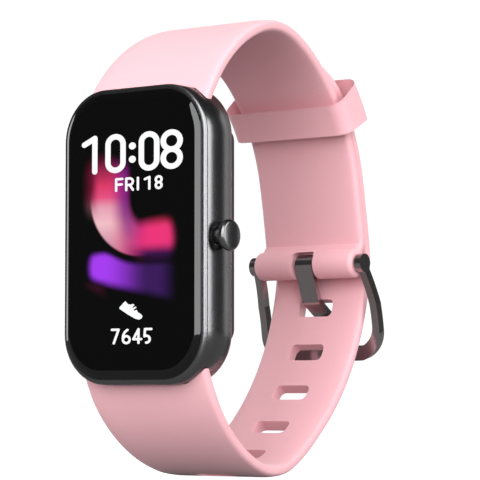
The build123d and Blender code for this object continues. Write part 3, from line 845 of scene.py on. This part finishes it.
def build_glass():
    raised = sum(rise for _, rise in GLASS_STEPS)
    bm = rounded_slab(CASE_W - 2 * RIM, CASE_H - 2 * RIM, CASE_R - RIM, GLASS_FRONT + raised)
    back = bmesh.ops.extrude_face_region(bm, geom=bm.faces[:])["geom"]
    moved = [g for g in back if isinstance(g, bmesh.types.BMVert)]
    bmesh.ops.translate(bm, vec=(0, GLASS_T - raised, 0), verts=moved)
    bmesh.ops.recalc_face_normals(bm, faces=bm.faces)
    front = [f for f in bm.faces if f.normal.y < -0.9]
    for step, rise in GLASS_STEPS:
        bmesh.ops.inset_region(bm, faces=front, thickness=step, depth=0, use_even_offset=True)
        verts = {v for f in front for v in f.verts}
        bmesh.ops.translate(bm, vec=(0, -rise, 0), verts=list(verts))
    return bm


bm = build_glass()
to_metres(bm)
make_piece("curved_glass", bm, "screen_glass", "case", "cover_glass", smooth=30)

# %% [markdown]
# ## What the screen shows
# Lit figures could be painted in the glass's material, but their round pen strokes are easier
# to draw as geometry: a pen is one edge, a straight move extrudes it, a turn spins it, and a
# disc rounds each end. Each figure is a few strokes in its own box.

# %% Pen
INK_PROUD = 0.015
INK_THICK = 0.03
WIDE = 1.25  # figures are drawn narrow and stretched, so upright strokes come out bolder
COLON_WEIGHT = 1.28


def draw_stroke(bm, start, degrees, moves, pen):
    """One stroke of the pen: moves are (length, 0) or (radius, turn to the left)."""
    across = heading(degrees + 90) * (pen / 2)
    point = Vector(start)
    ends = [bm.verts.new((*(point + across), 0)), bm.verts.new((*(point - across), 0))]
    edge = bm.edges.new(ends)
    first = point
    for amount, turn in moves:
        if turn:
            centre = point + heading(degrees + math.copysign(90, turn)) * amount
            steps = max(4, round(abs(turn) / 10))
            made = bmesh.ops.spin(bm, geom=[edge, *edge.verts], cent=(*centre, 0), axis=(0, 0, 1),
                                  angle=math.radians(turn), steps=steps)["geom_last"]
            point = centre + (Matrix.Rotation(math.radians(turn), 2) @ (point - centre))
            degrees += turn
        else:
            made = bmesh.ops.extrude_edge_only(bm, edges=[edge])["geom"]
            step = heading(degrees) * amount
            moved = [g for g in made if isinstance(g, bmesh.types.BMVert)]
            bmesh.ops.translate(bm, vec=(*step, 0), verts=moved)
            point = point + step
        edges = [g for g in made if isinstance(g, bmesh.types.BMEdge)]
        edge = next(e for e in edges if all(v in made for v in e.verts))
    for cap in (first, point):
        bmesh.ops.create_circle(bm, cap_ends=True, segments=20, radius=pen / 2,
                                matrix=Matrix.Translation((*cap, 0)))


def line(a, b):
    """A straight stroke between two points."""
    step = Vector(b) - Vector(a)
    return a, math.degrees(math.atan2(step.y, step.x)), [(step.length, 0)]


def strokes_of(figure, w, h, t):
    """The strokes of a figure, in a box of width w and height h, with a pen of width t."""
    a = t / 2
    r = w / 2 - a
    ring = (h - t) / 4
    side = h - 2 * a - 2 * r
    figures = {
        "0": [((a, a + r), 90, [(side, 0), (r, -180), (side, 0), (r, -180)])],
        "1": [line((w * 0.62, a), (w * 0.62, h - a)), line((w * 0.62, h - a), (w * 0.1, h * 0.78))],
        "8": [((w / 2 - ring, a + ring), 90, [(ring, -360)]),
              ((w / 2 - ring, h - a - ring), 90, [(ring, -360)])],
        "6": [((a, a + r), 90, [(r, -360)]), ((a, a + r), 90, [(0.12 * h, 0), (0.55 * h, -62)])],
        "4": [line((w * 0.7, a), (w * 0.7, h - a)), line((w * 0.7, h - a), (a, h * 0.31)),
              line((a, h * 0.31), (w, h * 0.31))],
        "7": [line((a, h - a), (w - a, h - a)), line((w - a, h - a), (w * 0.34, a))],
        "5": [line((w - a, h - a), (a * 1.4, h - a)), line((a * 1.4, h - a), (a, h * 0.48)),
              ((a, h * 0.48), 32, [(r, -190), (r * 0.8, -32)])],
        "F": [line((a, a), (a, h - a)), line((a, h - a), (w - a, h - a)),
              line((a, h * 0.52), (w * 0.8, h * 0.52))],
        "I": [line((w / 2, a), (w / 2, h - a))],
        "R": [line((a, a), (a, h - a)),
              ((a, h - a), 0, [(w * 0.4, 0), (h * 0.235, -180), (w * 0.4, 0)]),
              line((w * 0.55, h * 0.45), (w - a * 0.6, a))],
        ":": [line((w / 2, h * 0.32), (w / 2 + 0.01, h * 0.32)),
              line((w / 2, h * 0.66), (w / 2 + 0.01, h * 0.66))],
    }
    return figures[figure]


def lay_on_glass(bm):
    """Stand flat artwork up in front of the glass and give it a little thickness."""
    made = bmesh.ops.extrude_face_region(bm, geom=bm.faces[:])["geom"]
    moved = [g for g in made if isinstance(g, bmesh.types.BMVert)]
    bmesh.ops.translate(bm, vec=(0, 0, INK_THICK), verts=moved)
    back = Matrix.Translation((0, GLASS_FRONT + INK_THICK - INK_PROUD, 0))
    stand = back @ Matrix.Rotation(math.pi / 2, 4, "X")
    bmesh.ops.transform(bm, matrix=stand, verts=bm.verts)
    to_metres(bm)


def write_figures(name, figures, baseline, width, height, pen):
    """Figures at their left edges, as one lit piece."""
    bm = bmesh.new()
    for figure, left in figures:
        letter = bmesh.new()
        weight = pen * COLON_WEIGHT if figure == ":" else pen
        for start, degrees, moves in strokes_of(figure, width / WIDE, height, weight):
            draw_stroke(letter, start, degrees, moves, weight)
        bmesh.ops.scale(letter, vec=(WIDE, 1, 1), verts=letter.verts)
        bmesh.ops.translate(letter, vec=(left, baseline, 0), verts=letter.verts)
        flat = bpy.data.meshes.new("letter")
        letter.to_mesh(flat)
        letter.free()
        bm.from_mesh(flat)
        bpy.data.meshes.remove(flat)
    lay_on_glass(bm)
    return make_piece(name, bm, "screen", "case")


print("pen ready")

# %% Time, date and steps
lit = Finish("lit_figures", Base_Color=(0.02, 0.02, 0.02), Emission_Strength=1.0)
lit.set("Roughness", lit.between(lit.noise(2 * MM), 0.3, 0.7, 0.1, 0.2))
lit.set("Emission Color", lit.mix(lit.noise(3 * MM), (0.93, 0.94, 0.96), (1, 1, 1)))
# Each figure and its left edge, mm from the middle of the screen.
TIME = [("1", -9.55), ("0", -5.0), (":", -1.72), ("0", 1.5), ("8", 5.8)]
DATE = [("F", -3.07), ("R", -1.1), ("I", 0.55), ("1", 2.55), ("8", 4.53)]
STEPS = [("7", -3.8), ("6", -1.65), ("4", 0.35), ("5", 2.5)]
shown = [
    write_figures("screen_time", TIME, 9.5, 4.0, 5.95, 0.84),
    write_figures("screen_date", DATE, 6.62, 1.65, 2.1, 0.36),
    write_figures("screen_steps", STEPS, -16.45, 1.75, 2.4, 0.36),
]

# %% [markdown]
# The step counter has a small picture of a sports shoe over it: one flat outline.

# %% Shoe
SHOE = [(-1.0, -9.95), (-0.45, -10.45), (0.1, -10.5), (0.55, -10.4), (0.8, -10.6), (0.35, -10.9),
        (0.5, -11.0), (1.05, -10.8), (1.15, -11.0), (0.6, -11.3), (0.75, -11.45), (1.2, -11.3),
        (1.45, -11.7), (2.0, -11.95), (2.35, -12.3), (2.1, -12.65), (1.65, -12.8), (0.95, -12.65),
        (-0.45, -12.0), (-2.1, -11.1), (-2.1, -10.85)]
bm = bmesh.new()
bm.faces.new([bm.verts.new((x, z, 0)) for x, z in SHOE])
lay_on_glass(bm)
shown.append(make_piece("screen_shoe", bm, "screen", "case"))
for piece in shown:
    piece.data.materials.clear()
    piece.data.materials.append(lit.material)
print("lit pieces", len(shown))

# %% [markdown]
# ## Studio
# The set is a pale sweep in a white room. Dark polished things are lit by what they reflect,
# so the softboxes are placed for their reflections: a tall one beside the camera makes the
# bright line on the case's shoulder and the grey band on the glass's curved edge, one on the
# left lights the far rim, and a wide one overhead lightens the strap. The room is white where
# it is seen directly and dim where it is reflected, as flags and black cards do in a studio.

# %% Floor and room
FLOOR_GAP = 0.4 * MM
floor_z = cad_box[0].z - FLOOR_GAP
bm = bmesh.new()
bmesh.ops.create_grid(bm, x_segments=1, y_segments=1, size=3.0,
                      matrix=Matrix.Translation((0, 0, floor_z)))
floor = bpy.data.objects.new("floor", bpy.data.meshes.new("floor"))
bm.to_mesh(floor.data)
bm.free()
bpy.context.scene.collection.objects.link(floor)
sweep = Finish("pale_sweep", Roughness=0.9, Specular_IOR_Level=0.0, Emission_Strength=1.0)
sweep.set("Base Color", sweep.mix(sweep.noise(0.4), (0.2, 0.2, 0.2), (0.22, 0.22, 0.22)))
straight = sweep.node("ShaderNodeLightPath", {}, {}, "Is Camera Ray")
sweep.set("Emission Color", sweep.mix(straight, (0.02, 0.02, 0.02), (1, 1, 1)))
floor.data.materials.append(sweep.material)

world = bpy.data.worlds.new("white_room")
world.use_nodes = True
bpy.context.scene.world = world
room = world.node_tree
ROOM_LIGHT = 0.72  # what falls on the object from all round
ROOM_MIRRORED = 0.07
ROOM_SEEN = 1.05
rays = room.nodes.new("ShaderNodeLightPath")
mirrored = room.nodes.new("ShaderNodeMapRange")
mirrored.inputs["To Min"].default_value = ROOM_LIGHT
mirrored.inputs["To Max"].default_value = ROOM_MIRRORED
seen = room.nodes.new("ShaderNodeMapRange")
seen.inputs["To Max"].default_value = ROOM_SEEN
room.links.new(rays.outputs["Is Glossy Ray"], mirrored.inputs["Value"])
room.links.new(rays.outputs["Is Camera Ray"], seen.inputs["Value"])
room.links.new(mirrored.outputs["Result"], seen.inputs["To Min"])
room.links.new(seen.outputs["Result"], room.nodes["Background"].inputs["Strength"])
room.nodes["Background"].inputs["Color"].default_value = (1, 1, 1, 1)
print("floor at", round(floor_z, 5))


# %% Softboxes
def softbox(name, azimuth, elevation, distance, width, height, glow):
    """A flat lamp whose face has the given brightness, standing round the object."""
    lamp = bpy.data.objects.new(name, bpy.data.lights.new(name, "AREA"))
    lamp.data.shape = "RECTANGLE"
    lamp.data.size = width
    lamp.data.size_y = height
    lamp.data.energy = glow * math.pi * width * height
    bpy.context.scene.collection.objects.link(lamp)
    direction = direction_from(math.radians(azimuth), math.radians(elevation))
    aim(lamp, direction, CAMERA_TARGET, distance)


softbox("front", 10, 4, 0.8, 0.44, 1.1, 6.0)
softbox("strip_right", 44, 6, 0.8, 0.3, 0.85, 6.5)
softbox("side_right", 94, 10, 0.8, 0.35, 0.6, 5.5)
softbox("side_left", -92, 5, 0.8, 0.3, 0.6, 3.6)
softbox("overhead", -40, 62, 0.8, 0.6, 0.5, 0.3)
softbox("back_right", 172, 0, 0.8, 0.34, 0.8, 0.8)
print("softboxes 6")
